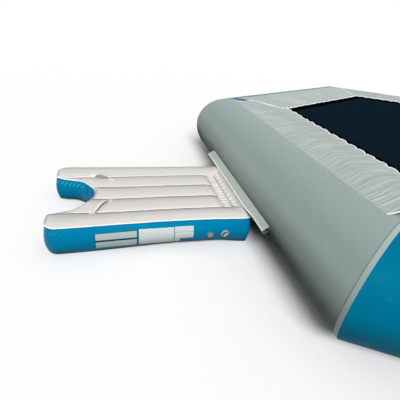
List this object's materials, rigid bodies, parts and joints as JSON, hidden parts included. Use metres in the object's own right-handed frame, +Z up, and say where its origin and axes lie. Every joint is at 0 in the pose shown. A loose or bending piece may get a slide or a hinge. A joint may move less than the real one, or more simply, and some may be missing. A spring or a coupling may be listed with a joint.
{
  "type": "inflatable water trampoline",
  "caption": "Hexagonal air-tube ring with a sprung dark jump mat, gathered edge covers and a notched, chambered boarding platform hinged to one side.",
  "frame": {"origin": "centre of the whole part's footprint, on the ground under it", "axes": "+Z up; +X from the boarding platform's outer end to the far side of the ring, square to the side that carries the platform; +Y along that side"},
  "size_m": [7.6206, 6.8436, 0.8164],
  "materials": {
    "grey_pvc": "light grey coated fabric, satin",
    "teal_pvc": "teal coated fabric, glossy",
    "teal_wall_pvc": "teal coated fabric, glossy",
    "white_pvc": "off-white coated fabric with a fine non-slip grain",
    "panel_cloth": "off-white coated cloth, gathered",
    "strip_pvc": "pale grey welded strip",
    "lower_strip": "dark hook-and-loop webbing",
    "patch_pvc": "grey welded patch",
    "galvanised_steel": "galvanised tube",
    "saddle_webbing": "black webbing saddle",
    "elastic_cord": "black braided elastic cord",
    "edge_webbing": "dark polyester webbing with stainless wire rings",
    "mat_mesh": "very dark navy woven mat",
    "cover_cloth": "light grey coated cloth, gathered",
    "stainless_wire": "bent stainless wire",
    "handle_webbing": "light grey webbing",
    "valve_plastic": "grey moulded plastic",
    "cap_plastic": "grey moulded plastic"
  },
  "bodies": {
    "ring": {"tube_segment_1": "grey_pvc", "tube_segment_2": "teal_pvc", "tube_segment_3": "grey_pvc", "tube_segment_4": "teal_pvc", "tube_segment_5": "grey_pvc", "tube_segment_6": "teal_pvc", "frame_rail_1": "galvanised_steel", "frame_rail_2": "galvanised_steel", "frame_rail_3": "galvanised_steel", "frame_rail_4": "galvanised_steel", "frame_rail_5": "galvanised_steel", "frame_rail_6": "galvanised_steel", "frame_saddle_1": "saddle_webbing", "frame_saddle_2": "saddle_webbing", "frame_saddle_3": "saddle_webbing", "frame_saddle_4": "saddle_webbing", "frame_saddle_5": "saddle_webbing", "frame_saddle_6": "saddle_webbing", "elastic_cord_1": "elastic_cord", "elastic_cord_2": "elastic_cord", "elastic_cord_3": "elastic_cord", "elastic_cord_4": "elastic_cord", "elastic_cord_5": "elastic_cord", "elastic_cord_6": "elastic_cord", "edge_cover_1": "cover_cloth", "edge_cover_2": "cover_cloth", "edge_cover_3": "cover_cloth", "edge_cover_4": "cover_cloth", "edge_cover_5": "cover_cloth", "edge_cover_6": "cover_cloth", "ring_valve_body": "valve_plastic", "ring_relief_valve": "valve_plastic", "anchor_patch_1": "patch_pvc", "anchor_patch_2": "patch_pvc", "anchor_patch_3": "patch_pvc", "attachment_cover_strip": "strip_pvc", "attachment_lower_strip": "lower_strip"},
    "bed": {"jump_mat": "mat_mesh", "mat_webbing": "edge_webbing"},
    "platform": {"platform_top": "white_pvc", "platform_side_wall": "teal_wall_pvc", "platform_bottom": "white_pvc", "platform_web_1": "white_pvc", "platform_web_2": "white_pvc", "platform_web_3": "white_pvc", "platform_web_4": "white_pvc", "platform_valve_body": "valve_plastic", "platform_relief_valve": "valve_plastic", "hinge_panel": "panel_cloth"},
    "ring_cap": {"ring_valve_cap": "cap_plastic"},
    "platform_cap": {"platform_valve_cap": "cap_plastic"},
    "near_handle": {"handle_near": "handle_webbing"},
    "far_handle": {"handle_far": "handle_webbing"},
    "mooring_ring_1": {"d_ring_1": "stainless_wire"},
    "mooring_ring_2": {"d_ring_2": "stainless_wire"},
    "mooring_ring_3": {"d_ring_3": "stainless_wire"}
  },
  "joints": [
    {"name": "bed_bounce", "type": "slide", "parent": "ring", "child": "bed", "axis": [0, 0, 1], "range_m": [-0.25, 0], "stiffness_N_per_m": 8000, "springref_m": 0.06, "deforming": ["elastic_cord_1", "elastic_cord_2", "elastic_cord_3", "elastic_cord_4", "elastic_cord_5", "elastic_cord_6", "edge_cover_1", "edge_cover_2", "edge_cover_3", "edge_cover_4", "edge_cover_5", "edge_cover_6"]},
    {"name": "platform_hinge", "type": "hinge", "parent": "ring", "child": "platform", "pos_m": [-2.15028, 0, 0.26923], "axis": [0, 1, 0], "range_deg": [-20, 55], "deforming": ["hinge_panel"]},
    {"name": "ring_cap_turn", "type": "hinge", "parent": "ring", "child": "ring_cap", "pos_m": [3.75669, 0.9, 0.6], "axis": [0.866, 0, 0.5], "range_deg": [0, 90]},
    {"name": "platform_cap_turn", "type": "hinge", "parent": "platform", "child": "platform_cap", "pos_m": [-2.37328, -0.565, 0.1297], "axis": [0, -1, 0], "range_deg": [0, 90]},
    {"name": "near_handle_flop", "type": "hinge", "parent": "platform", "child": "near_handle", "pos_m": [-3.3803, -0.27, 0.26245], "axis": [0.5295, 0.8473, 0.0416], "range_deg": [-45, 45]},
    {"name": "far_handle_flop", "type": "hinge", "parent": "platform", "child": "far_handle", "pos_m": [-3.3803, 0.27, 0.26245], "axis": [0.5295, -0.8473, 0.0416], "range_deg": [-45, 45]},
    {"name": "mooring_ring_1_swing", "type": "hinge", "parent": "ring", "child": "mooring_ring_1", "pos_m": [-0.25738, -1.91258, 0.19505], "axis": [0.866, -0.5, 0], "range_deg": [-20, 120]},
    {"name": "mooring_ring_2_swing", "type": "hinge", "parent": "ring", "child": "mooring_ring_2", "pos_m": [3.0553, 0, 0.19505], "axis": [0, 1, 0], "range_deg": [-20, 120]},
    {"name": "mooring_ring_3_swing", "type": "hinge", "parent": "ring", "child": "mooring_ring_3", "pos_m": [-0.25738, 1.91258, 0.19505], "axis": [-0.866, -0.5, 0], "range_deg": [-20, 120]}
  ]
}
